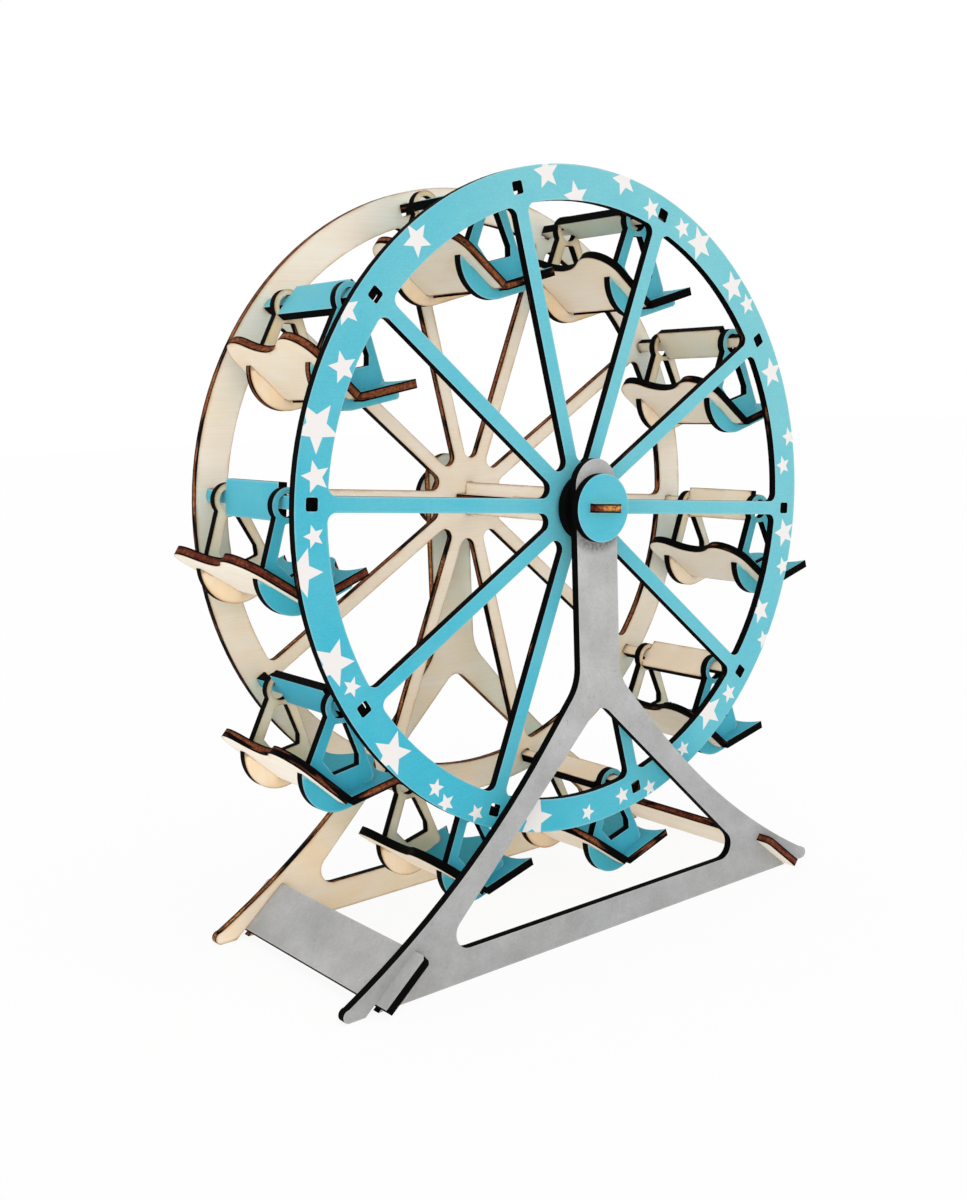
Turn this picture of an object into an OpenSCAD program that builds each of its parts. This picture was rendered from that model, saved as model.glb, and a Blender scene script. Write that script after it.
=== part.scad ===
// Toy ferris wheel that presses together from laser-cut plywood sheet.
// X runs to the right and Y to the back as seen from the front, Z is up. The origin lies on the
// floor, below the axle, in the middle of the front frame's thickness.

/* [Sheet] */
// Thickness of the plywood
ply = 3; // [2.5:0.1:3.5]
// How much wider a slot is than the sheet that presses into it
fit = 0.1; // [0.05:0.05:0.2]

/* [Stand] */
// Clear distance between the two frames
frame_gap = 80; // [76:1:100]
// Height of the axle above the floor
axle_h = 150.7; // [146:0.1:170]
// Length of a frame along the floor
frame_w = 221; // [212:1:240]
// Width of the upright post
post_w = 18.4; // [16:0.1:22]
// Height of the post's round head above the axle
head_h = 16.6; // [15:0.2:20]
// Height at which the post forks into the legs
fork_h = 90.7; // [88:0.1:98]
// How much steeper a leg starts than the straight line from fork to toe
leg_bow = 8.5; // [6:0.1:9]
// Fillet between post and leg
fork_r = 16; // [8:1:20]
// Radius of the round tip of a toe
toe_r = 2.2; // [1.4:0.1:2.6]
// Height of the cross bar along the floor
base_bar_h = 11; // [8:0.1:12]
// Distance from the fork down to the three-cornered window's corner, before it is rounded
fork_web = 7.6; // [6:0.1:14]
// Distance from the toe to the window's lower corner, before it is rounded
foot_reach = 36.4; // [33:0.1:40]
// Radius of the window's corners
window_r = 5.5; // [3:0.5:8]

/* [Planks] */
// Length of a plank, through both frames
plank_len = 98; // [94:1:120]
// Height of a plank, measured along its slope
plank_h = 20.4; // [15:0.2:21]
// Slope of the planks
plank_slope = 39.5; // [38:0.5:41]
// Distance from the toe of a frame to a plank's lower inner edge
plank_inset = 13.9; // [12:0.1:16]
// Height of that edge above the floor
plank_lift = 0.9; // [0.5:0.1:1.2]
// Bevel at the upper corners of a plank's ends
plank_bevel = 1.2; // [0.5:0.1:2]
// Height of the wood that a leg has over the inner end of a plank's slot
slot_web = 3.7; // [2.5:0.1:4.5]

/* [Wheel] */
// Number of spokes and cars
spokes = 10; // [8:1:10]
// Radius on which the cars hang
hang_r = 108; // [107:0.1:109]
// How far the rim reaches outside that radius
rim_out = 5.5; // [5:0.1:7]
// How far the rim reaches inside it
rim_in = 6; // [5:0.1:8]
// Width of a spoke
spoke_w = 5; // [4:0.1:7]
// Fillet between spoke and rim
rim_fillet = 3; // [2:0.1:4]
// Fillet between two spokes at the hub
hub_fillet = 3.2; // [2.6:0.1:4]
// Turn of the wheel at rest, clockwise as seen from the front
wheel_turn = 5.1; // [0:0.1:10]
// Play of the wheel and its front washer against the front frame
front_play = 2; // [0.5:0.1:4]
// How far that washer stays off the front frame
washer_gap = 0.4; // [0.2:0.1:0.5]
// Play between the rear frame and the wheel's rear washers
rear_play = 3.5; // [0.5:0.1:5]

/* [Axle] */
// Width of an axle strip
strip_w = 12; // [10:0.5:12]
// Radius of the hub washers and of the end discs
hub_r = 11.6; // [11:0.1:13]
// Radius of the bore in the frames
bore_r = 6.5; // [6.45:0.05:7]
// Play between an end disc and its frame
end_play = 0.4; // [0.2:0.1:1]
// How far an axle strip's full end stands out of its end disc
tab_out = 2.4; // [1:0.1:4]

/* [Bars] */
// Height of a bar's body
bar_h = 12; // [9:0.5:14]
// Height of a bar's necks
neck_h = 4.1; // [3.9:0.1:4.4]
// How much a neck's slot is longer than the neck is thick, towards the hub
neck_slack = 1.1; // [0.1:0.1:1.5]
// Corner radius of that slot
slot_r = 0.8; // [0.2:0.1:1]
// How far a neck's end stays behind the disc's outer face
neck_recess = 1; // [0.5:0.1:2]
// Play between a bar's shoulder and the hanger beside it
shoulder_play = 0.3; // [0.2:0.1:0.8]

/* [Hangers] */
// How far the bench stands out beyond each hanger
overhang = 5.1; // [4:0.1:8]
// Outer radius of the ring
ring_r = 5.6; // [5:0.1:6.5]
// Radius of the hole in the ring
ring_hole_r = 3.75; // [3.75:0.05:4]
// How far the ring hangs below the bar's middle
hang_drop = 1; // [0.9:0.05:1]
// Half distance between the legs where they leave the ring
neck_half = 4.7; // [4:0.1:5.2]
// Height below the bar at which the legs leave the ring
neck_drop = 3.4; // [3:0.1:4]
// Half width of the window's top edge
opening_half = 2.1; // [1.5:0.1:2.5]
// Depth of the window's top edge below the bar
opening_top = 6.4; // [6.2:0.1:7]
// Depth of the window's widest place below the bar
opening_waist = 17.5; // [16:0.1:18]
// Depth of the window's lowest corner below the bar
opening_end = 22.8; // [21:0.1:24]
// Half width of the window at its widest place
opening_w = 6.9; // [6:0.1:7.2]
// Depth of the window's corner over the seat below the bar
opening_sill = 20.8; // [19:0.1:21.5]
// How far left of the bar the window's lowest corner lies
opening_tip_x = 2.6; // [1:0.1:4]
// Corner radius of the window
opening_r = 0.5; // [0.3:0.1:1]
// How far the hanger's foot reaches along the seat
foot_len = 12.7; // [12:0.1:14]
// Round corner of that foot
foot_r = 1.6; // [1:0.1:2]
// How far the hanger's heel reaches up the backrest
heel_len = 16.2; // [15:0.1:17]
// Radius of the round belly below the plates
belly_r = 13.2; // [12.5:0.1:14]
// How deep the belly shows below the seat
belly_depth = 2.5; // [2:0.1:4]
// Length of the belly along the seat
belly_len = 17.4; // [16:0.1:18]
// Corner radius at the belly's blunt end
belly_end_r = 1.3; // [0.8:0.1:2]

/* [Bench] */
// Length of the bench plates from end to end
bench_w = 50; // [46:0.5:52]
// Depth of the corner between seat and backrest below the bar
corner_drop = 29.3; // [28.5:0.1:31]
// Distance of that corner to the right of the bar
corner_x = 0.7; // [0:0.1:1.5]
// Rise of the seat
seat_slope = 13.6; // [12:0.2:16]
// Slope of the backrest
back_slope = 40; // [38:0.5:43]
// Depth of the seat at the middle of its wavy edge
seat_len = 24; // [22:0.2:26]
// Depth of the two scoops in the seat's edge
scoop_depth = 6.6; // [5:0.1:7.5]
// Radius of the scoops
scoop_r = 12.5; // [11.5:0.1:14]
// Distance of the scoops from the middle
scoop_y = 16; // [15:0.1:17]
// Height of the backrest's humps along its slope
back_len = 27.1; // [25:0.1:29]
// Radius of the humps
hump_r = 9.5; // [8.5:0.1:10.5]
// Depth of the dip between the humps
dip_depth = 5.1; // [4:0.1:6]
// How far the seat is slotted for the hangers
seat_lap = 8; // [6:0.5:9]
// How far the backrest is slotted for the hangers
back_lap = 11.5; // [9:0.5:13]

/* [Hidden] */
$fn = 96;
cars = [0 : spokes - 1];
function car_name(k, piece) = str("car_", k + 1, "_", piece);

// Colours of the printed faces, the bare wood and the concrete print
turquoise = [0.3, 0.72, 0.8];
bare = [0.9, 0.85, 0.77];
concrete = [0.68, 0.68, 0.67];

// Each car hangs a few degrees off level, because its rings rub on the necks
// of the bar (counter-clockwise as seen from the front)
car_lean = [2, 2, 0, 0, -4, 6, -3, 2, 4, -1];

// Every cut runs this far past the solid that it goes through
over = 5;

// An arc that runs into a line or another arc is this much larger, so that the two cross
snug = 0.001;

// Clear distance between the two hangers of a car
hanger_gap = bench_w - 2 * (overhang + ply);

// Stations along Y of everything on the axle, from front to back
frame_front_y = -ply / 2;
frame_rear_y = frame_front_y + ply + frame_gap;
frame_mid_y = (frame_front_y + frame_rear_y + ply) / 2;
front_washer_y = frame_front_y + ply + washer_gap;
front_disc_y = frame_front_y + ply + front_play + ply;
rear_washer_y = frame_rear_y - rear_play - 2 * ply;
rear_disc_y = rear_washer_y - ply;
wheel_mid_y = (front_disc_y + rear_disc_y + ply) / 2;
front_end_y = frame_front_y - end_play - ply;
rear_end_y = frame_rear_y + ply + end_play;
strip_out = rear_end_y + ply + tab_out - frame_mid_y;
strip_in = rear_end_y - frame_mid_y;

// Helpers for outlines

function unit(v) = v / norm(v);
function turned(a) = [cos(a), sin(a)];

// Convex outline through points given counter-clockwise, each corner i rounded with radii[i]
function to_last(p, i) = unit(p[(i + len(p) - 1) % len(p)] - p[i]);
function to_next(p, i) = unit(p[(i + 1) % len(p)] - p[i]);
function half_corner(p, i) = acos(to_last(p, i) * to_next(p, i)) / 2;
module rounded(p, radii) {
    polygon([for (i = [0 : len(p) - 1])
        let (cut = radii[i] / tan(half_corner(p, i)))
        each cut > 0 ? [p[i] + cut * to_last(p, i), p[i] + cut * to_next(p, i)] : [p[i]]]);
    for (i = [0 : len(p) - 1])
        if (radii[i] > 0)
            translate(p[i] + unit(to_last(p, i) + to_next(p, i)) * radii[i] / sin(half_corner(p, i)))
                circle(radii[i] + snug);
}

// Sheet that stands upright, with its front face at station y
module upright(y) {
    translate([0, y + ply, 0])
        rotate([90, 0, 0])
            linear_extrude(ply)
                children();
}

// Radius of an arc at the middle that meets two arcs of radius r, a distance x to its sides and
// with their centres a height k beyond the middle arc's top
function bridge_r(x, k, r) = (x * x + k * k - r * r) / (2 * (r - k));

// Stand

window_apex = fork_h - fork_web;
window_half = frame_w / 2 - foot_reach;
plank_foot_x = frame_w / 2 - plank_inset;

fork_pt = [post_w / 2, fork_h];
toe_top = [frame_w / 2 - toe_r, 2 * toe_r];
leg_slope = atan2(fork_pt[1] - toe_top[1], toe_top[0] - fork_pt[0]) + leg_bow;
leg_dir = [cos(leg_slope), -sin(leg_slope)];
leg_normal = [sin(leg_slope), cos(leg_slope)];

// The hollow curve of the leg touches its straight upper edge, passes over the inner end of the
// plank's slot and ends on the toe. These points are measured along the straight edge and off it.
function on_leg(p) = [(p - fork_pt) * leg_dir, (p - fork_pt) * leg_normal];
slot_end = [plank_foot_x, plank_lift] - (plank_h + fit) * turned(-plank_slope)
    + (ply + fit / 2) * turned(90 - plank_slope);
over_slot = on_leg(slot_end + [0, slot_web]);
toe = on_leg(toe_top);
chord_foot = [over_slot[0] - over_slot[1] * (toe[0] - over_slot[0]) / (toe[1] - over_slot[1]), 0];
curve_along = chord_foot[0] - sqrt(norm(over_slot - chord_foot) * norm(toe - chord_foot));
curve_r = (pow(over_slot[0] - curve_along, 2) + pow(over_slot[1], 2)) / (2 * over_slot[1]);
curve_start = fork_pt + curve_along * leg_dir;
curve_centre = curve_start + curve_r * leg_normal;

fork_cut = fork_r * tan((90 - leg_slope) / 2);

module leg_outline() {
    difference() {
        polygon([[0, 0], [toe_top[0], 0], toe_top, curve_start, fork_pt, [0, fork_h]]);
        translate(curve_centre)
            circle(curve_r + snug, $fn = 360);
    }
    difference() {
        polygon([[0, fork_h], fork_pt + fork_cut * leg_dir, fork_pt + [0, fork_cut]]);
        translate(fork_pt + [fork_r, fork_cut])
            circle(fork_r + snug);
    }
    translate([toe_top[0], toe_r])
        circle(toe_r);
}

// Slot for a plank, slanted with it and open at the floor
module plank_slot() {
    translate([plank_foot_x, plank_lift])
        rotate(-plank_slope)
            translate([-plank_h - fit, -fit / 2])
                square([plank_h + fit + over, ply + fit]);
}

module frame_outline() {
    difference() {
        union() {
            for (side = [0, 1])
                mirror([side, 0])
                    leg_outline();
            translate([-post_w / 2, fork_h])
                square([post_w, axle_h + head_h - post_w / 2 - fork_h]);
            translate([0, axle_h + head_h - post_w / 2])
                circle(post_w / 2);
        }
        for (side = [0, 1])
            mirror([side, 0])
                plank_slot();
        rounded([[-window_half, base_bar_h], [window_half, base_bar_h], [0, window_apex]],
            [window_r, window_r, window_r]);
        translate([0, axle_h])
            circle(bore_r);
    }
}

module front_frame() {
    color(concrete)
        upright(frame_front_y)
            frame_outline();
}

module rear_frame() {
    color(concrete)
        upright(frame_rear_y)
            frame_outline();
}

// Plank outline with its height along -X, from the edge near the floor upwards
module plank_outline() {
    end = plank_len / 2;
    polygon([[0, -end], [0, end], [plank_bevel - plank_h, end], [-plank_h, end - plank_bevel],
        [-plank_h, plank_bevel - end], [plank_bevel - plank_h, -end]]);
}

module plank() {
    color(concrete)
        translate([plank_foot_x, frame_mid_y, plank_lift])
            rotate([0, plank_slope, 0])
                linear_extrude(ply)
                    plank_outline();
}

module left_plank() {
    mirror([1, 0, 0])
        plank();
}

module right_plank() {
    plank();
}

// Wheel

disc_r = hang_r + rim_out;
rim_in_r = hang_r - rim_in;
half_pitch = 180 / spokes;
fillet_off = spoke_w / 2 + rim_fillet;
fillet_at = rim_in_r - rim_fillet;
fillet_turn = half_pitch - asin(fillet_off / fillet_at);
hub_at = (spoke_w / 2 + hub_fillet) / sin(half_pitch);

// One window between two spokes, pointing along +X
module wheel_window() {
    edge = turned(half_pitch + 90);
    hub = [hub_at, 0];
    rim = fillet_at * turned(fillet_turn);
    for (side = [0, 1])
        mirror([0, side]) {
            polygon([hub, rim, rim + rim_fillet * edge, hub + hub_fillet * edge]);
            polygon([hub, [rim[0], 0], rim]);
            translate(rim)
                circle(rim_fillet + snug);
        }
    translate(hub)
        circle(hub_fillet + snug);
    intersection() {
        circle(rim_in_r, $fn = 360);
        polygon([[rim[0], -rim[1]], [2 * rim[0], -2 * rim[1]], 2 * rim, rim]);
    }
}

// Slot in which the two strips of the axle cross
module axle_cross() {
    for (turn = [0, 90])
        rotate(turn)
            square([strip_w + fit, ply + fit], center = true);
}

// Slot for a bar's neck, which lies against the slot's end nearest the rim
module neck_slot() {
    outer = hang_r + (ply + fit) / 2;
    inner = outer - ply - fit - neck_slack;
    side = (neck_h + fit) / 2;
    rounded([[inner, -side], [outer, -side], [outer, side], [inner, side]],
        [slot_r, slot_r, slot_r, slot_r]);
}

module disc_outline() {
    difference() {
        circle(disc_r, $fn = 360);
        for (k = cars) {
            rotate((2 * k + 1) * half_pitch)
                wheel_window();
            rotate(2 * k * half_pitch)
                neck_slot();
        }
        axle_cross();
    }
}

// What turns with the wheel is drawn round the axle with a spoke along +X
module on_wheel() {
    translate([0, 0, axle_h])
        rotate([0, wheel_turn, 0])
            children();
}

module front_disc() {
    color(turquoise)
        on_wheel()
            upright(front_disc_y)
                disc_outline();
}

module rear_disc() {
    color(bare)
        on_wheel()
            upright(rear_disc_y)
                disc_outline();
}

// Washer or end disc; slots are what it is pierced by
module hub_disc(y) {
    on_wheel()
        upright(y)
            difference() {
                circle(hub_r);
                children();
            }
}

module front_washer() {
    color(bare)
        hub_disc(front_washer_y)
            axle_cross();
}

module rear_washer_inner() {
    color(bare)
        hub_disc(rear_washer_y)
            axle_cross();
}

module rear_washer_outer() {
    color(bare)
        hub_disc(rear_washer_y + ply)
            axle_cross();
}

module front_end_disc() {
    color(turquoise)
        hub_disc(front_end_y)
            square([strip_w + fit, ply + fit], center = true);
}

module rear_end_disc() {
    color(turquoise)
        hub_disc(rear_end_y)
            square([ply + fit, strip_w + fit], center = true);
}

// Axle strip lying flat, with its full end to the front, its slotted end to the back and the
// bottom of the slot at the origin
module axle_strip() {
    translate([0, 0, -ply / 2])
        linear_extrude(ply)
            difference() {
                translate([-strip_w / 2, -strip_out])
                    square([strip_w, strip_out + strip_in]);
                translate([-(ply + fit) / 2, -fit / 2])
                    square([ply + fit, strip_in + over]);
            }
}

module axle_strip_front() {
    color(bare)
        on_wheel()
            translate([0, frame_mid_y, 0])
                axle_strip();
}

module axle_strip_rear() {
    color(bare)
        on_wheel()
            translate([0, frame_mid_y, 0])
                rotate([0, 0, 180])
                    rotate([0, 90, 0])
                        axle_strip();
}

// Bar between the two discs, seen from outside the rim
module bar_outline() {
    body = hanger_gap - 2 * shoulder_play;
    neck = rear_disc_y + ply - front_disc_y - 2 * neck_recess;
    square([bar_h, body], center = true);
    square([neck_h, neck], center = true);
}

module car_bars() {
    color(turquoise)
        on_wheel()
            for (k = cars)
                rotate([0, -2 * k * half_pitch, 0])
                    translate([hang_r - ply / 2, wheel_mid_y, 0])
                        rotate([0, 90, 0])
                            linear_extrude(ply)
                                bar_outline();
}

// Cars, drawn round the middle of their bar

corner = [corner_x, -corner_drop];
seat_dir = turned(seat_slope);
back_dir = turned(180 - back_slope);

// The middle arc of the seat's edge and the dip of the backrest join the arcs beside them
seat_mid_r = bridge_r(scoop_y, scoop_r - scoop_depth, scoop_r);
hump_y = bench_w / 2 - hump_r;
dip_r = bridge_r(hump_y, hump_r - dip_depth, hump_r);

module on_pivot(k) {
    a = 2 * k * half_pitch - wheel_turn;
    translate([hang_r * cos(a), wheel_mid_y, axle_h + hang_r * sin(a)])
        rotate([0, -car_lean[k], 0])
            children();
}

// Outline of the legs and of the web between them, down to the bench corner
module legs_outline() {
    rounded([[-neck_half, -neck_drop], corner + heel_len * back_dir, corner,
        corner + foot_len * seat_dir, [neck_half, -neck_drop]], [0, 0, 0, foot_r, 0]);
}

// Round belly and its blunt tail, along the seat with the bench corner at the origin
module belly_outline() {
    floor_y = -ply - belly_depth;
    translate([0, floor_y + belly_r])
        circle(belly_r + snug);
    rounded([[0, floor_y], [belly_len, floor_y], [belly_len, 0], [0, 0]], [0, belly_end_r, 0, 0]);
}

// Web that joins legs and belly at the bench corner, between the two plates
module keel_outline() {
    polygon([corner + (back_lap + ply) * back_dir, corner - [0, ply],
        corner + (seat_lap + ply) * seat_dir]);
}

// Everything below the upper faces of the two bench plates
module below_bench() {
    reach = 2 * corner_drop;
    polygon([corner, corner + reach * back_dir, [-reach, -reach], [reach, -reach],
        corner + reach * seat_dir]);
}

module hanger_window() {
    points = [[-opening_half, -opening_top], [-opening_w, -opening_waist],
        [-opening_tip_x, -opening_end], [opening_w, -opening_sill],
        [opening_w, -opening_waist], [opening_half, -opening_top]];
    rounded(points, [for (p = points) opening_r]);
}

module hanger_outline() {
    difference() {
        union() {
            translate([0, -hang_drop])
                circle(ring_r);
            legs_outline();
            keel_outline();
            intersection() {
                translate(corner)
                    rotate(seat_slope)
                        belly_outline();
                below_bench();
            }
        }
        translate([0, -hang_drop])
            circle(ring_hole_r);
        hanger_window();
        translate(corner) {
            rotate(seat_slope)
                translate([seat_lap, -ply - fit / 2])
                    square([bench_w, ply + fit]);
            rotate(-back_slope)
                translate([-bench_w - back_lap, -ply - fit / 2])
                    square([bench_w, ply + fit]);
        }
    }
}

module front_hanger(k) {
    color(turquoise)
        on_pivot(k)
            upright(-hanger_gap / 2 - ply)
                hanger_outline();
}

module rear_hanger(k) {
    color(bare)
        on_pivot(k)
            upright(hanger_gap / 2)
                hanger_outline();
}

// Slots in a bench plate for the two hangers, open at the bench corner
module bench_slots(lap) {
    for (side = [-1, 1])
        translate([-over, side * (hanger_gap + ply) / 2 - (ply + fit) / 2])
            square([over + lap, ply + fit]);
}

// Seat plate, from the bench corner along +X
module seat_outline() {
    scoop_x = seat_len - scoop_depth + scoop_r;
    mid_x = seat_len - seat_mid_r;
    join = [mid_x, 0] + [scoop_x - mid_x, scoop_y] * seat_mid_r / (seat_mid_r + scoop_r);
    difference() {
        translate([fit, -bench_w / 2])
            square([scoop_x - fit, bench_w]);
        for (side = [-1, 1])
            translate([scoop_x, side * scoop_y])
                circle(scoop_r);
        translate([join[0], -join[1]])
            square([scoop_x, 2 * join[1]]);
        bench_slots(seat_lap);
    }
    translate([mid_x, 0])
        circle(seat_mid_r + snug);
}

// Backrest plate, from the bench corner along +X
module backrest_outline() {
    hump_x = back_len - hump_r;
    dip_x = back_len - dip_depth + dip_r;
    join = [hump_x, hump_y] + [dip_x - hump_x, -hump_y] * hump_r / (hump_r + dip_r);
    difference() {
        union() {
            translate([fit, -bench_w / 2])
                square([hump_x - fit, bench_w]);
            translate([fit, -join[1]])
                square([join[0] - fit, 2 * join[1]]);
            for (side = [-1, 1])
                translate([hump_x, side * hump_y])
                    circle(hump_r);
        }
        translate([dip_x, 0])
            circle(dip_r + snug);
        bench_slots(back_lap);
    }
}

// Bench plate whose upper face starts at the bench corner
module bench_plate(k) {
    on_pivot(k)
        translate([corner_x, 0, -corner_drop])
            children();
}

module seat(k) {
    color(turquoise)
        bench_plate(k)
            rotate([0, -seat_slope, 0])
                translate([0, 0, -ply])
                    linear_extrude(ply)
                        seat_outline();
}

module backrest(k) {
    color(bare)
        bench_plate(k)
            rotate([0, back_slope, 0])
                mirror([1, 0, 0])
                    translate([0, 0, -ply])
                        linear_extrude(ply)
                            backrest_outline();
}

front_frame();
rear_frame();
left_plank();
right_plank();
front_disc();
rear_disc();
axle_strip_front();
axle_strip_rear();
front_washer();
rear_washer_inner();
rear_washer_outer();
front_end_disc();
rear_end_disc();
car_bars();
for (k = cars) {
    front_hanger(k);
    rear_hanger(k);
    seat(k);
    backrest(k);
}
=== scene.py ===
import math
import bpy
import numpy as np
from mathutils import Matrix, Vector

# Ferris wheel toy pressed together from laser-cut plywood. Lengths in the dictionaries are in
# millimetres, and the frame itself is in metres.
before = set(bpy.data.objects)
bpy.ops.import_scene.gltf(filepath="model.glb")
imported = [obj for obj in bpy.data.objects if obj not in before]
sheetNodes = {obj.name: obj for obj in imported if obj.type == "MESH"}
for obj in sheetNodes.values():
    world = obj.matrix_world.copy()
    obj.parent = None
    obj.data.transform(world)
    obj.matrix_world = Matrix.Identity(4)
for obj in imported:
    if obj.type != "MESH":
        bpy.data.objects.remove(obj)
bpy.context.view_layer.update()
mm = 0.001
print("frame loaded:", len(sheetNodes), "sheets")


# Camera, at the place the photograph was taken from
photoCamera = {
    "place": (-322.37, -348.83, 195.77),
    "yaw": 38.094,            # from +Y towards +X
    "pitch": -9.075,
    "roll": -1.99,
    "focalPixels": 1396.1,    # for a frame 1200 pixels high
    "framePixels": 1200,
    "sensorWidth": 36,        # spans the frame's longer side
    "clip": (0.02, 50),       # in metres
}


def aimCamera(setup):
    yaw, pitch, roll = (math.radians(setup[k]) for k in ("yaw", "pitch", "roll"))
    forward = Vector((math.sin(yaw) * math.cos(pitch), math.cos(yaw) * math.cos(pitch), math.sin(pitch)))
    level = Vector((math.cos(yaw), -math.sin(yaw), 0))
    upright = level.cross(forward)
    right = level * math.cos(roll) + upright * math.sin(roll)
    up = right.cross(forward)
    lens = bpy.data.cameras.new("photoCamera")
    lens.sensor_width = setup["sensorWidth"]
    lens.lens = lens.sensor_width * setup["focalPixels"] / setup["framePixels"]
    lens.clip_start, lens.clip_end = setup["clip"]
    made = bpy.data.objects.new("photoCamera", lens)
    turn = Matrix((right, up, -forward)).transposed().to_4x4()
    made.matrix_world = Matrix.Translation(Vector(setup["place"]) * mm) @ turn
    bpy.context.scene.collection.objects.link(made)
    bpy.context.scene.camera = made


aimCamera(photoCamera)
print("camera placed")


# Helpers that wire shader nodes. A value is either a socket, which is linked, or a number.
def feed(tree, socket, value):
    if isinstance(value, bpy.types.NodeSocket):
        tree.links.new(value, socket)
    else:
        socket.default_value = value


def addNode(tree, kind, inputs=None, **settings):
    made = tree.nodes.new("ShaderNode" + kind)
    for name, value in settings.items():
        setattr(made, name, value)
    for key, value in (inputs or {}).items():
        feed(tree, made.inputs[key], value)
    return made


def calc(tree, operation, *values, clamp=False):
    made = addNode(tree, "Math", dict(enumerate(values)), operation=operation, use_clamp=clamp)
    return made.outputs[0]


def calcVector(tree, operation, *values):
    made = addNode(tree, "VectorMath", dict(enumerate(values)), operation=operation)
    return made.outputs["Value" if operation in ("DOT_PRODUCT", "LENGTH") else "Vector"]


def spread(tree, value, low, high, outLow=0.0, outHigh=1.0, smooth=False):
    made = addNode(tree, "MapRange", {0: value, 1: low, 2: high, 3: outLow, 4: outHigh},
                   interpolation_type="SMOOTHSTEP" if smooth else "LINEAR")
    return made.outputs[0]


def mixColour(tree, share, first, second):
    return addNode(tree, "Mix", {0: share, 6: first, 7: second}, data_type="RGBA").outputs[2]


def mixNumber(tree, share, first, second):
    return addNode(tree, "Mix", {0: share, 2: first, 3: second}, data_type="FLOAT").outputs[0]


def scaleColour(tree, colour, factor):
    made = addNode(tree, "VectorMath", {0: colour, "Scale": factor}, operation="SCALE")
    return made.outputs[0]


def grainNoise(tree, vector, turns, detail=2.0, roughness=0.5, distortion=0.0):
    stretched = calcVector(tree, "MULTIPLY", vector, turns)
    made = addNode(tree, "TexNoise", {"Vector": stretched, "Scale": 1.0, "Detail": detail,
                                      "Roughness": roughness, "Distortion": distortion})
    return made.outputs[0]


def rgb(*values):
    return (*values, 1.0)


# A node group that takes vectors and numbers, each named in one line of words
def newGroup(name, vectors, numbers, outputs=(("Colour", "Color"), ("Height", "Float"))):
    group = bpy.data.node_groups.new(name, "ShaderNodeTree")
    for label in vectors.split():
        group.interface.new_socket(label, in_out="INPUT", socket_type="NodeSocketVector")
    for label in numbers.split():
        group.interface.new_socket(label, in_out="INPUT", socket_type="NodeSocketFloat")
    for label, kind in outputs:
        group.interface.new_socket(label, in_out="OUTPUT", socket_type="NodeSocket" + kind)
    given = group.nodes.new("NodeGroupInput").outputs
    result = group.nodes.new("NodeGroupOutput").inputs
    return group, given, result


# In the finishes below, a noise is its turns for each millimetre along, across and through the
# sheet's grain, then its detail, its roughness and how far it is distorted. A range takes it from
# the first two numbers to 0 and 1, or to the last two.

# Bare birch veneer. The vector is in millimetres with the grain along X.
bareBirch = {
    "pale": (0.935, 0.890, 0.810),
    "deep": (0.905, 0.825, 0.700),
    "amber": (0.92, 0.680, 0.395),    # clouds of warmth 1
    "fleck": (0.60, 0.44, 0.28),
    "haze": (0.68, 0.37, 0.13),       # scorch beside a cut
    "line": (0.16, 0.055, 0.02),      # right at the cut
    "soot": (0.0025, 0.0022, 0.0022),    # painted shade: a face painted black all over where it lies in deep shadow
    "roughness": 0.68,
    "relief": 0.03,
    "cloudNoise": ((0.035, 0.09, 0.09), 3.0),
    "cloudRange": (0.32, 0.68),
    "glowNoise": ((0.055, 0.07, 0.07), 2.0, 0.5, 0.6),
    "glowRange": (0.34, 0.66, 0.45, 0.95),
    "streakNoise": ((0.05, 2.4, 2.4), 3.0, 0.6),
    "streakRange": (0.3, 0.7, 0.955, 1.02),
    "fleckNoise": ((0.45, 6.0, 6.0), 1.0),
    "fleckRange": (0.66, 0.78),
    "fleckShare": 0.3,
    "hazeNoise": ((0.11, 0.11, 0.11), 2.0),
    "hazeRange": (0.40, 0.66, 0.05, 0.7),
    "hazePower": 1.3,
    "lineRange": (0.86, 1.0),
    "lineShare": 0.6,
}


def makeBirchGroup(look):
    group, given, result = newGroup("bareBirch", "Vector", "Warmth Near Soot")
    kinds = ("cloudNoise", "streakNoise", "fleckNoise", "glowNoise", "hazeNoise")
    cloud, streak, fleck, glow, patches = (grainNoise(group, given["Vector"], *look[kind]) for kind in kinds)
    cloud = spread(group, cloud, *look["cloudRange"])
    ground = mixColour(group, cloud, rgb(*look["pale"]), rgb(*look["deep"]))
    tan = calc(group, "MULTIPLY", given["Warmth"], spread(group, glow, *look["glowRange"]))
    ground = mixColour(group, tan, ground, rgb(*look["amber"]))
    ground = scaleColour(group, ground, spread(group, streak, *look["streakRange"]))
    spots = calc(group, "MULTIPLY", spread(group, fleck, *look["fleckRange"]), look["fleckShare"])
    ground = mixColour(group, spots, ground, rgb(*look["fleck"]))
    scorch = calc(group, "POWER", given["Near"], look["hazePower"])
    scorch = calc(group, "MULTIPLY", scorch, spread(group, patches, *look["hazeRange"]))
    ground = mixColour(group, scorch, ground, rgb(*look["haze"]))
    seam = calc(group, "MULTIPLY", spread(group, given["Near"], *look["lineRange"]), look["lineShare"])
    ground = mixColour(group, seam, ground, rgb(*look["line"]))
    # painted shade: the face is painted black where it lies in deep shadow
    feed(group, result["Colour"], mixColour(group, given["Soot"], ground, rgb(*look["soot"])))
    feed(group, result["Height"], calc(group, "MULTIPLY", streak, look["relief"]))
    return group
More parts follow.
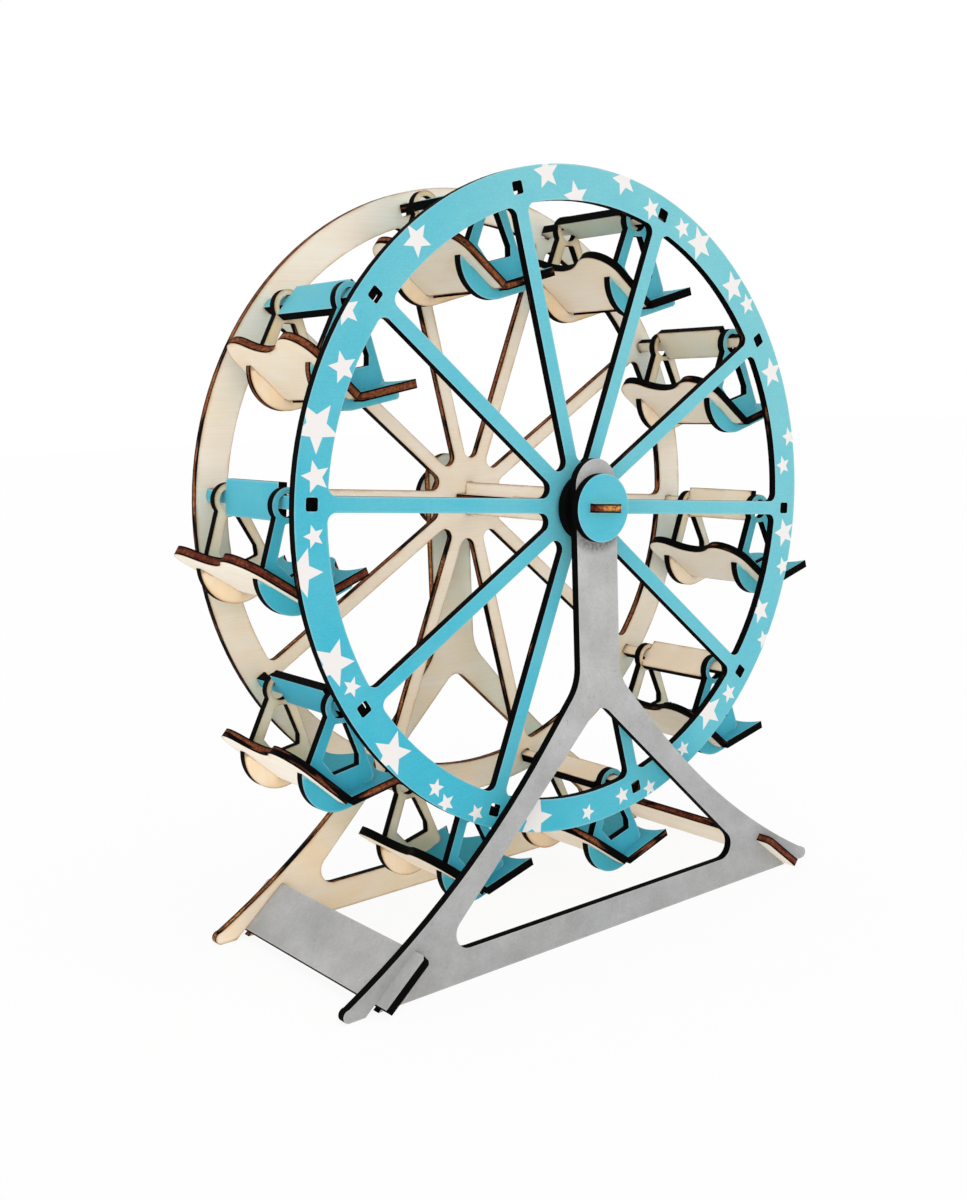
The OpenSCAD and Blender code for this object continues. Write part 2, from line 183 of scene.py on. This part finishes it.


# Turquoise print, slightly cloudy, with the veneer's grain showing through as faint streaks.
# The pale share runs from the full ink to a paler tone, which is painted sheen, and the ink shade darkens
# it, which is painted shade.
turquoisePrint = {
    "full": (0.058, 0.438, 0.568),
    # painted sheen: the paler tone the print takes towards the upper right
    "sheenPale": (0.200, 0.540, 0.590),
    # painted shade: the darker ink of the cars low on the wheel
    "shadedInk": (0.022, 0.275, 0.395),
    "rim": (0.66, 0.70, 0.66),        # pale line where the laser lifted the ink
    "star": (0.80, 0.765, 0.745),
    "roughness": 0.5,
    "relief": 0.02,
    "cloudNoise": ((0.05, 0.05, 0.05), 3.0),
    "cloudRange": (0.3, 0.7, -0.13, 0.13),
    "streakNoise": ((0.12, 2.0, 2.0), 2.0),
    "streakRange": (0.3, 0.7, 0.97, 1.03),
    "speckNoise": ((1.6, 1.6, 1.6), 2.0),
    "speckRange": (0.3, 0.7, 0.95, 1.04),
    "rimRange": (0.88, 1.0),
    "rimShare": 0.32,
}


def makeTurquoiseGroup(look):
    group, given, result = newGroup("turquoisePrint", "Vector", "Near Star Fade Deep")
    kinds = ("cloudNoise", "streakNoise", "speckNoise")
    cloud, streak, speck = (grainNoise(group, given["Vector"], *look[kind]) for kind in kinds)
    fade = calc(group, "ADD", given["Fade"], spread(group, cloud, *look["cloudRange"]), clamp=True)
    # painted sheen: paler print where the pale share is high
    ground = mixColour(group, fade, rgb(*look["full"]), rgb(*look["sheenPale"]))
    # painted shade: darker print where the ink shade is set
    ground = mixColour(group, given["Deep"], ground, rgb(*look["shadedInk"]))
    ground = scaleColour(group, ground, spread(group, streak, *look["streakRange"]))
    ground = scaleColour(group, ground, spread(group, speck, *look["speckRange"]))
    ground = mixColour(group, given["Star"], ground, rgb(*look["star"]))
    lifted = calc(group, "MULTIPLY", spread(group, given["Near"], *look["rimRange"]), look["rimShare"])
    feed(group, result["Colour"], mixColour(group, lifted, ground, rgb(*look["rim"])))
    feed(group, result["Height"], calc(group, "MULTIPLY", streak, look["relief"]))
    return group


# Concrete-grey print: cloudy patches, fine grit and a few faint pin holes, lighter where the pale share is
# 1, with a painted shadow ring where the ring-shadow input is set
concretePrint = {
    "light": (0.448, 0.448, 0.444),
    "deep": (0.362, 0.365, 0.362),
    "warm": (0.42, 0.405, 0.375),
    "pin": (0.20, 0.20, 0.20),
    "ringShadowTone": (0.10, 0.10, 0.10),     # painted shadow of the end disc on the print
    "rim": (0.55, 0.54, 0.51),
    "roughness": 0.62,
    "relief": 0.02,
    "cloudNoise": ((0.06, 0.06, 0.06), 4.0, 0.6),
    "cloudRange": (0.3, 0.7, 1.14, 0.86),
    "tintNoise": ((0.03, 0.03, 0.03), 2.0),
    "tintRange": (0.45, 0.7, 0.0, 0.3),
    "gritNoise": ((1.1, 1.1, 1.1), 3.0, 0.6),
    "gritRange": (0.25, 0.75, 0.92, 1.08),
    "pinNoise": ((0.8, 0.8, 0.8), 0.0),
    "pinRange": (0.77, 0.82, 0.0, 0.35),
    "ringShadowRange": (0.35, 0.6, 0.35, 1.0),
    "rimRange": (0.84, 1.0),
    "rimShare": 0.35,
}


def makeConcreteGroup(look):
    group, given, result = newGroup("concretePrint", "Vector", "Near Fade Rub")
    kinds = ("cloudNoise", "tintNoise", "gritNoise", "pinNoise")
    cloud, tint, grit, pins = (grainNoise(group, given["Vector"], *look[kind]) for kind in kinds)
    ground = mixColour(group, given["Fade"], rgb(*look["deep"]), rgb(*look["light"]))
    ground = mixColour(group, spread(group, tint, *look["tintRange"]), ground, rgb(*look["warm"]))
    ground = scaleColour(group, ground, spread(group, cloud, *look["cloudRange"]))
    ground = scaleColour(group, ground, spread(group, grit, *look["gritRange"]))
    ground = mixColour(group, spread(group, pins, *look["pinRange"]), ground, rgb(*look["pin"]))
    # painted shadow: a dark ring round the end disc, mottled by the grit
    rub = calc(group, "MULTIPLY", given["Rub"], spread(group, grit, *look["ringShadowRange"]))
    ground = mixColour(group, rub, ground, rgb(*look["ringShadowTone"]))
    lifted = calc(group, "MULTIPLY", spread(group, given["Near"], *look["rimRange"]), look["rimShare"])
    feed(group, result["Colour"], mixColour(group, lifted, ground, rgb(*look["rim"])))
    feed(group, result["Height"], calc(group, "MULTIPLY", grit, look["relief"]))
    return group


# Laser-cut edge: black char, burnt through to brown wood in patches between the two faces. Depth
# runs from 0 at one face to 1 at the other, Brown is the share left brown and Tone takes it from
# mahogany red through orange to gold. The fine ribs of the cut run straight through the sheet.
charredEdge = {
    "black": (0.0016, 0.0014, 0.0014),
    "red": (0.135, 0.024, 0.016),
    "orange": (0.36, 0.120, 0.044),
    "gold": (0.74, 0.330, 0.095),
    "glue": (0.024, 0.007, 0.005),
    "roughness": 0.9,
    "relief": 0.06,
    "coreRange": (0.22, 0.38, 1.0, 0.0),    # distance from the middle, as a share of the sheet
    "glueAt": 0.17,
    "glueRange": (0.0, 0.05, 0.6, 0.0),
    "patchNoise": ((0.06, 0.06, 0.4), 2.0),
    "patchRange": (-0.02, 0.07),
    "patchLimits": (0.78, 0.22),      # noise above which wood shows, for Brown 0 and 1
    "tintNoise": ((0.12, 0.12, 0.9), 2.0),
    "tintRange": (0.3, 0.7, -0.25, 0.25),
    "orangeRange": (0.0, 0.7),
    "goldRange": (0.75, 1.0),
    "ribNoise": ((2.2, 2.2, 0.5), 2.0),
    "ribRange": (0.38, 0.54, 0.6, 0.0),
    "blotNoise": ((0.7, 0.7, 1.2), 2.0),
    "blotRange": (0.36, 0.5, 0.75, 0.0),
}


def makeEdgeGroup(look):
    group, given, result = newGroup("charredEdge", "Vector", "Depth Brown Tone")
    kinds = ("patchNoise", "tintNoise", "ribNoise", "blotNoise")
    patches, tint, ribs, blots = (grainNoise(group, given["Vector"], *look[kind]) for kind in kinds)
    middle = calc(group, "ABSOLUTE", calc(group, "SUBTRACT", given["Depth"], 0.5))
    band = spread(group, middle, *look["coreRange"], smooth=True)
    least, most = look["patchLimits"]
    limit = calc(group, "MULTIPLY_ADD", given["Brown"], most - least, least)
    bare = spread(group, calc(group, "SUBTRACT", patches, limit), *look["patchRange"])
    bare = calc(group, "MULTIPLY", bare, band)
    warm = calc(group, "ADD", given["Tone"], spread(group, tint, *look["tintRange"]), clamp=True)
    reddish = spread(group, warm, *look["orangeRange"])
    wood = mixColour(group, reddish, rgb(*look["red"]), rgb(*look["orange"]))
    wood = mixColour(group, spread(group, warm, *look["goldRange"]), wood, rgb(*look["gold"]))
    glueLine = calc(group, "ABSOLUTE", calc(group, "SUBTRACT", middle, look["glueAt"]))
    wood = mixColour(group, spread(group, glueLine, *look["glueRange"]), wood, rgb(*look["glue"]))
    burnt = spread(group, blots, *look["blotRange"])
    dark = calc(group, "MAXIMUM", spread(group, ribs, *look["ribRange"]), burnt)
    wood = mixColour(group, dark, wood, rgb(*look["glue"]))
    feed(group, result["Colour"], mixColour(group, bare, rgb(*look["black"]), wood))
    feed(group, result["Height"], calc(group, "MULTIPLY", ribs, look["relief"]))
    return group


# Stars on the rim: angle round the axle, radius, size and turn, in degrees and millimetres
rimStars = {
    "axleHeight": 150.7,
    "innerShare": 0.45,       # radius of the inner corners as a share of the points'
    "blur": 0.06,
    "wholeTurns": 10,         # added to an angle to make it positive
    "places": [
        (126.6, 108.6, 5.5, 56), (144.2, 113.0, 5.0, 30), (152.3, 106.0, 5.1, 28), (162.8, 108.9, 8.1, 49),
        (170.5, 106.7, 5.1, 28), (180.0, 106.9, 3.7, 31), (185.3, 112.6, 7.8, 68), (200.9, 109.8, 7.8, 69),
        (206.3, 107.4, 3.4, 69), (220.8, 109.3, 7.6, 69), (232.5, 108.6, 3.3, 70), (235.9, 111.1, 3.5, 31),
        (243.0, 110.2, 3.3, 31), (256.9, 108.8, 7.9, 70), (270.0, 109.2, 3.2, 70), (279.1, 108.0, 3.5, 31),
        (286.2, 111.1, 3.4, 31), (297.2, 107.3, 3.4, 31), (307.0, 104.4, 7.4, 31), (313.6, 108.2, 3.9, 31),
        (327.6, 112.2, 3.8, 31), (332.5, 104.9, 5.4, 31), (343.0, 111.2, 3.9, 31), (349.8, 109.0, 5.8, 31),
        (3.8, 106.8, 3.9, 31), (9.3, 111.4, 3.9, 31), (23.3, 108.6, 5.8, 31), (38.5, 110.0, 4.0, 33),
        (43.7, 108.2, 5.9, 31), (55.9, 108.3, 6.4, 31), (61.3, 108.0, 3.9, 30), (70.1, 107.1, 4.1, 32),
        (77.9, 112.2, 5.6, 31), (89.3, 103.0, 5.6, 31), (96.0, 110.8, 5.6, 30),
    ],
}


# One printed five-pointed star. The point is given round the axle. Folding its angle into half of
# a star's point leaves one straight side, and inside is what lies short of that side.
def makeStarGroup(look):
    group, given, result = newGroup("printedStar", "Point Centre", "Size Turn", [("Inside", "Float")])
    halfPoint = math.pi / 5
    cornerX, cornerY = look["innerShare"] * math.cos(halfPoint), look["innerShare"] * math.sin(halfPoint)
    lean = math.atan2(1 - cornerX, cornerY)
    reach = cornerY / math.hypot(cornerY, 1 - cornerX)
    away = calcVector(group, "SUBTRACT", given["Point"], given["Centre"])
    parts = addNode(group, "SeparateXYZ", {0: away}).outputs
    angle = calc(group, "SUBTRACT", calc(group, "ARCTAN2", parts[2], parts[0]), given["Turn"])
    angle = calc(group, "ADD", angle, look["wholeTurns"] * 2 * math.pi)
    folded = calc(group, "PINGPONG", angle, halfPoint)
    share = calc(group, "COSINE", calc(group, "SUBTRACT", folded, lean))
    along = calc(group, "MULTIPLY", calcVector(group, "LENGTH", away), share)
    limit = calc(group, "MULTIPLY", given["Size"], reach)
    past = calc(group, "SUBTRACT", along, limit)
    feed(group, result["Inside"], spread(group, past, -look["blur"], look["blur"], 1.0, 0.0))
    return group


birchGroup = makeBirchGroup(bareBirch)
edgeGroup = makeEdgeGroup(charredEdge)
starGroup = makeStarGroup(rimStars)
inks = {
    "turquoise": (makeTurquoiseGroup(turquoisePrint), turquoisePrint),
    "concrete": (makeConcreteGroup(concretePrint), concretePrint),
}

def starMask(tree, point, flip):
    lit = None
    for angle, radius, size, turn in rimStars["places"]:
        around = math.radians(angle if flip > 0 else 180 - angle)
        turned = math.radians(turn if flip > 0 else 180 - turn)
        centre = (radius * math.cos(around), 0.0, radius * math.sin(around))
        star = addNode(tree, "Group", node_tree=starGroup)
        for label, value in (("Point", point), ("Centre", centre), ("Size", size), ("Turn", turned)):
            feed(tree, star.inputs[label], value)
        lit = star.outputs[0] if lit is None else calc(tree, "MAXIMUM", lit, star.outputs[0])
    return lit


# What every sheet shares
sheetFinish = {
    "thickness": 3.0,
    "scorchReach": 1.7,       # how far from a cut the face is scorched
    "scorchRays": 8,
    "scorchGain": 2.0,
    "faceLimit": 0.7,         # a face whose normal is this close to the sheet's is a face, not an edge
    "flatLimit": 0.999,       # and this close, it is one of its flat faces
    "specular": 0.05,         # dry, unvarnished board
    "ringShadowShare": 0.75,         # how dark the painted shadow ring is at its darkest
}


def sheetNormal(node, facing):
    # the direction in which most of the mesh's area faces, turned to the printed side
    data = node.data
    normals = np.zeros(len(data.polygons) * 3)
    areas = np.zeros(len(data.polygons))
    data.polygons.foreach_get("normal", normals)
    data.polygons.foreach_get("area", areas)
    normals = normals.reshape(-1, 3)
    towards = normals @ np.array(facing, float)
    largest = np.argmax(np.where(towards > sheetFinish["faceLimit"], areas, 0))
    flat = (normals @ normals[largest]) > sheetFinish["flatLimit"]
    mean = (normals[flat] * areas[flat, None]).sum(0)
    return Vector(mean).normalized()


# A finish value is one number, or (direction, start, end, first, last) to run from first to last
# while the point's distance along direction goes from start to end.
def runAcross(tree, point, value):
    if not isinstance(value, tuple):
        return value
    way, start, end, first, last = value
    return spread(tree, calcVector(tree, "DOT_PRODUCT", point, way), start, end, first, last)


def sheetPoints(node):
    corners = np.zeros(len(node.data.vertices) * 3)
    node.data.vertices.foreach_get("co", corners)
    return corners.reshape(-1, 3) / mm


def aroundTheAxle(tree, point):
    # the point seen along the axle, measured from it
    out = calcVector(tree, "SUBTRACT", point, (0, 0, rimStars["axleHeight"]))
    return calcVector(tree, "MULTIPLY", out, (1, 0, 1))


# Both of these give a sheet's outward normal, its vector along, across and through the grain, and
# the depth of a point below its printed face, from 0 to 1. The first is for a flat sheet, and the
# second for sheets that lie round the axle.
def flatFrame(tree, node, point, facing, grain):
    normal = sheetNormal(node, facing)
    levels = sheetPoints(node) @ np.array(normal)
    along = (Vector(grain) - Vector(grain).dot(normal) * normal).normalized()
    ways = (along, normal.cross(along), normal)
    reaches = [calcVector(tree, "DOT_PRODUCT", point, tuple(way)) for way in ways]
    vector = addNode(tree, "CombineXYZ", dict(enumerate(reaches))).outputs[0]
    height = calc(tree, "SUBTRACT", reaches[2], levels.max())
    return tuple(normal), vector, calc(tree, "DIVIDE", height, levels.min() - levels.max())


def ringedFrame(tree, node, point):
    out = aroundTheAxle(tree, point)
    corners = sheetPoints(node)
    far = np.hypot(corners[:, 0], corners[:, 2] - rimStars["axleHeight"]).max()
    height = calc(tree, "SUBTRACT", calcVector(tree, "LENGTH", out), far)
    depth = calc(tree, "DIVIDE", height, -sheetFinish["thickness"])
    return calcVector(tree, "NORMALIZE", out), point, depth


def nearCut(tree):
    # rays into the sheet meet a side wall only beside a cut
    into = addNode(tree, "AmbientOcclusion", {"Distance": sheetFinish["scorchReach"] * mm},
                   inside=True, only_local=True, samples=sheetFinish["scorchRays"])
    near = calc(tree, "SUBTRACT", 1.0, into.outputs["AO"])
    return calc(tree, "MULTIPLY", near, sheetFinish["scorchGain"], clamp=True)


def layFinish(tree, group, values):
    made = addNode(tree, "Group", values, node_tree=group)
    return made.outputs["Colour"], made.outputs["Height"]


# painted shadow: darkest just outside the end disc, gone by the outer radius
def paintedRingShadow(tree, point, rub):
    centre, inner, outer = rub
    away = calcVector(tree, "LENGTH", calcVector(tree, "SUBTRACT", point, centre))
    return spread(tree, away, inner, outer, sheetFinish["ringShadowShare"], 0.0, smooth=True)


# ink is the print on the face that looks towards facing, grain the veneer's direction, warmth how
# tan the bare wood is and soot how black it is painted, as painted shade. brown and tone go to
# the cut edge, and lean is (direction, share) of painted light: edges that face that way are painted
# browner, as if lit. fade is how pale the print is, a painted sheen on the turquoise and
# lighter up the frame on the concrete, deep is painted shade that darkens the print, and rub
# is (centre, inner, outer) of a painted shadow ring. stars is 1 in front and -1 where they are seen
# from behind. ringed marks sheets that lie round the axle.
def finishSheet(name, ink=None, facing=(0, -1, 0), grain=(1, 0, 0), warmth=0.3, brown=0.2, tone=0.5,
                lean=None, soot=0.0, fade=0.0, rub=None, deep=None, stars=0, ringed=False):
    node = sheetNodes[name]
    made = bpy.data.materials.new(name + "Finish")
    made.use_nodes = True
    tree = made.node_tree
    tree.nodes.clear()
    spots = addNode(tree, "TexCoord").outputs
    point = scaleColour(tree, spots["Object"], 1 / mm)
    if ringed:
        normal, vector, depth = ringedFrame(tree, node, point)
    else:
        normal, vector, depth = flatFrame(tree, node, point, facing, grain)
    facingShare = calcVector(tree, "DOT_PRODUCT", spots["Normal"], normal)
    limit = sheetFinish["faceLimit"]
    onPrint = calc(tree, "GREATER_THAN", facingShare, limit)
    onEdge = calc(tree, "LESS_THAN", calc(tree, "ABSOLUTE", facingShare), limit)
    near = nearCut(tree)
    warmth, brown, tone, fade = (runAcross(tree, point, value) for value in (warmth, brown, tone, fade))

    bare = {"Vector": vector, "Warmth": warmth, "Near": near, "Soot": soot}
    colour, rise = layFinish(tree, birchGroup, bare)
    rough = bareBirch["roughness"]
    if ink:
        group, look = inks[ink]
        printInputs = {"Vector": vector, "Near": near, "Fade": fade}
        if rub:
            printInputs["Rub"] = paintedRingShadow(tree, point, rub)
        # painted shade: the print of the lower cars is darkened
        if deep is not None:
            printInputs["Deep"] = deep
        if stars:
            printInputs["Star"] = starMask(tree, aroundTheAxle(tree, point), stars)
        printColour, printRise = layFinish(tree, group, printInputs)
        colour = mixColour(tree, onPrint, colour, printColour)
        rise = mixNumber(tree, onPrint, rise, printRise)
        rough = mixNumber(tree, onPrint, rough, look["roughness"])
    # painted light: cut edges that face the given way are painted browner, as if lit
    if lean:
        way, share = lean
        turned = calcVector(tree, "DOT_PRODUCT", spots["Normal"], way)
        brown = calc(tree, "MULTIPLY_ADD", turned, share, brown)
    cut = {"Vector": vector, "Depth": depth, "Brown": brown, "Tone": tone}
    edgeColour, edgeRise = layFinish(tree, edgeGroup, cut)
    colour = mixColour(tree, onEdge, colour, edgeColour)
    rise = mixNumber(tree, onEdge, rise, edgeRise)
    rough = mixNumber(tree, onEdge, rough, charredEdge["roughness"])

    bump = addNode(tree, "Bump", {"Height": rise, "Distance": mm, "Strength": 1.0})
    surface = addNode(tree, "BsdfPrincipled", {"Base Color": colour, "Roughness": rough,
                                               "Normal": bump.outputs[0],
                                               "Specular IOR Level": sheetFinish["specular"]})
    addNode(tree, "OutputMaterial", {"Surface": surface.outputs[0]})
    node.data.materials.clear()
    node.data.materials.append(made)


front, back, up = (0, -1, 0), (0, 1, 0), (0, 0, 1)

# Stand: two frames printed on their outer faces and two planks between their feet
# the concrete print is darker towards the feet and lighter up the frame
upTheFrame = ((0, 0, 1), 20, 120, 0, 1)
standFinish = {
    "front_frame": {"ink": "concrete", "facing": front, "warmth": 0.5, "brown": 0.05, "fade": upTheFrame,
                    # painted shadow ring round the end disc
                    "rub": ((0, -1.5, 148.2), 11.0, 14.5)},
    "rear_frame": {"ink": "concrete", "facing": back, "warmth": ((0, 0, 1), 15, 110, 0.65, 0.45),
                   "brown": 0.30, "tone": 0.8, "lean": ((-1, 0, 0), 0.5), "fade": upTheFrame},
    "left_plank": {"ink": "concrete", "facing": (-0.64, 0, 0.77), "grain": (0, 1, 0),
                   "brown": 0.08, "fade": 0.75},
    "right_plank": {"ink": "concrete", "facing": (0.64, 0, 0.77), "grain": (0, 1, 0),
                    "warmth": 0.1, "brown": 0.75, "tone": 0.25, "fade": 0.9},
}

# Wheel: its two discs, the ten bars between them, and the hub's washers and end discs. The
# print pales from the lower left of the front disc to its upper right, a painted sheen.
sheenAcrossTheDisc = ((0.7, 0, 0.7), -8, 218, 0, 1)
wheelFinish = {
    "front_disc": {"ink": "turquoise", "facing": front, "brown": 0.2, "fade": sheenAcrossTheDisc, "stars": 1},
    "rear_disc": {"ink": "turquoise", "facing": back, "warmth": ((0.3, 0, 1), 30, 150, 0.65, 0.24),
                  "brown": 0.30, "tone": 0.65, "lean": ((-0.6, 0, 0.8), 0.35),
                  "fade": sheenAcrossTheDisc, "stars": -1},
    # painted shade: the washer's face, in deep shadow behind the frame, is painted black
    "front_washer": {"brown": 0.0, "soot": 1.0},
    "rear_washer_inner": {"brown": 0.5},
    "rear_washer_outer": {"brown": 0.5},
    "front_end_disc": {"ink": "turquoise", "facing": front, "brown": 0.0, "fade": 0.28},
    "rear_end_disc": {"ink": "turquoise", "facing": back, "brown": 0.2, "fade": sheenAcrossTheDisc},
    "car_bars": {"ink": "turquoise", "brown": 0.15, "warmth": 0.55, "fade": sheenAcrossTheDisc,
                 "ringed": True},
}

# Axle: two strips halved into each other, hardly charred at their ends
axleFinish = {
    "axle_strip_front": {"facing": (0.0889, 0, 0.996), "grain": (0, 1, 0), "warmth": 0.15, "brown": 1.0,
                         "tone": ((1, 0, 0), -6, -1, 0.0, 1.0)},
    "axle_strip_rear": {"facing": (0.996, 0, -0.0889), "grain": (0, 1, 0), "warmth": 0.15, "brown": 1.0,
                        "tone": 0.8},
}

for name, look in {**standFinish, **wheelFinish, **axleFinish}.items():
    finishSheet(name, **look)
print("stand, wheel and axle finished")

# Cars, numbered anticlockwise from the right as seen from the front. One value for each car.
carFinish = {
    "count": 10,
    "benchBrown": (0.15, 0.25, 0.15, 0.55, 0.95, 0.9, 0.55, 0.15, 0.4, 0.3),
    "benchTone": (0.4, 0.4, 0.2, 0.55, 0.45, 0.15, 0.4, 0.3, 0.45, 0.3),
    "hangerBrown": (0.05, 0.1, 0.05, 0.15, 0.35, 0.15, 0.15, 0.1, 0.1, 0.1),
    "warmth": (0.3, 0.35, 0.4, 0.45, 0.6, 0.2, 0.0, 0.3, 0.3, 0.3),
    "rearWarmth": (0.6, 0.8, 0.9, 1.0, 1.0, 0.9, 1.0, 0.8, 0.7, 0.7),
    # painted shade: the print of the cars low on the wheel is darker
    "deep": (0.0, 0.0, 0.0, 0.0, 0.0, 0.1, 0.3, 0.3, 0.1, 0.15),
    # painted sheen: the print of the upper cars is paler
    "fade": (0.3, 0.35, 0.3, 0.25, 0.2, 0.0, 0.0, 0.0, 0.1, 0.1),
}
for number in range(carFinish["count"]):
    car = f"car_{number + 1}_"
    this = {key: value[number] for key, value in carFinish.items() if key != "count"}
    printed = {"ink": "turquoise", "deep": this["deep"], "fade": this["fade"]}
    bench = {**printed, "grain": (0, 1, 0), "warmth": this["warmth"],
             "brown": this["benchBrown"], "tone": this["benchTone"]}
    hanger = {**printed, "grain": (0, 0, 1), "brown": this["hangerBrown"]}
    finishSheet(car + "front_hanger", facing=front, warmth=this["warmth"], **hanger)
    finishSheet(car + "rear_hanger", facing=back, warmth=this["rearWarmth"], **hanger)
    finishSheet(car + "seat", facing=up, **bench)
    finishSheet(car + "backrest", facing=(0.64, 0, 0.77), **bench)
print("cars finished")

# Studio: a white sweep and soft light from all round. Camera rays see plain white, so the light
# that falls on the object stays at a plain level.
studio = {
    "skyStrength": 0.74,
    "lamps": {                  # strength, direction it comes from, softness in degrees
        "keyLight": (0.35, (0.25, -0.7, 0.95), 50),
        "fillLight": (1.2, (-0.8, -0.6, 0.22), 50),
    },
    "floorHalf": 4000,
    "floorDrop": 0.05,          # below the feet, so that the two don't share a plane
    "floorGlow": 0.90,          # share of the floor's white that no shadow reaches
    "floorColour": 0.85,
    "floorLight": 0.30,         # what the floor adds to the light from below
}


def seenDirectly(tree):
    # 1 for rays from the camera and for mirror images and glass, which show the same white
    rays = addNode(tree, "LightPath").outputs
    direct = calc(tree, "MAXIMUM", rays["Is Camera Ray"], rays["Is Glossy Ray"])
    return calc(tree, "MAXIMUM", direct, rays["Is Transmission Ray"])


def makeSky(look):
    world = bpy.data.worlds.new("paleSky")
    world.use_nodes = True
    tree = world.node_tree
    tree.nodes.clear()
    strength = mixNumber(tree, seenDirectly(tree), look["skyStrength"], 1.0)
    sky = addNode(tree, "Background", {"Color": rgb(1, 1, 1), "Strength": strength})
    addNode(tree, "OutputWorld", {"Surface": sky.outputs[0]})
    bpy.context.scene.world = world


def makeFloor(look):
    half = look["floorHalf"] * mm
    across, along = np.meshgrid((-half, half), (-half, half))
    spots = np.stack((across, along, np.full_like(across, -look["floorDrop"] * mm)), -1).reshape(-1, 3)
    data = bpy.data.meshes.new("floor")
    data.from_pydata(spots.tolist(), [], [(0, 1, 3, 2)])
    floor = bpy.data.objects.new("floor", data)
    bpy.context.scene.collection.objects.link(floor)
    paint = bpy.data.materials.new("paleFloor")
    paint.use_nodes = True
    tree = paint.node_tree
    tree.nodes.clear()
    board = addNode(tree, "BsdfDiffuse", {"Color": rgb(*[look["floorColour"]] * 3)})
    lit = addNode(tree, "Emission", {"Color": rgb(1, 1, 1), "Strength": look["floorLight"]})
    plain = addNode(tree, "AddShader", {0: board.outputs[0], 1: lit.outputs[0]})
    shaded = addNode(tree, "BsdfDiffuse", {"Color": rgb(*[1 - look["floorGlow"]] * 3)})
    glow = addNode(tree, "Emission", {"Color": rgb(1, 1, 1), "Strength": look["floorGlow"]})
    seen = addNode(tree, "AddShader", {0: shaded.outputs[0], 1: glow.outputs[0]})
    both = addNode(tree, "MixShader", {0: seenDirectly(tree), 1: plain.outputs[0], 2: seen.outputs[0]})
    addNode(tree, "OutputMaterial", {"Surface": both.outputs[0]})
    data.materials.append(paint)


def makeLamps(look):
    for name, (strength, place, softness) in look["lamps"].items():
        light = bpy.data.lights.new(name, "SUN")
        light.energy = strength
        light.angle = math.radians(softness)
        made = bpy.data.objects.new(name, light)
        made.matrix_world = Vector(place).to_track_quat("Z", "Y").to_matrix().to_4x4()
        bpy.context.scene.collection.objects.link(made)


makeSky(studio)
makeFloor(studio)
makeLamps(studio)
bpy.context.scene.view_settings.view_transform = "Standard"
print("studio set")
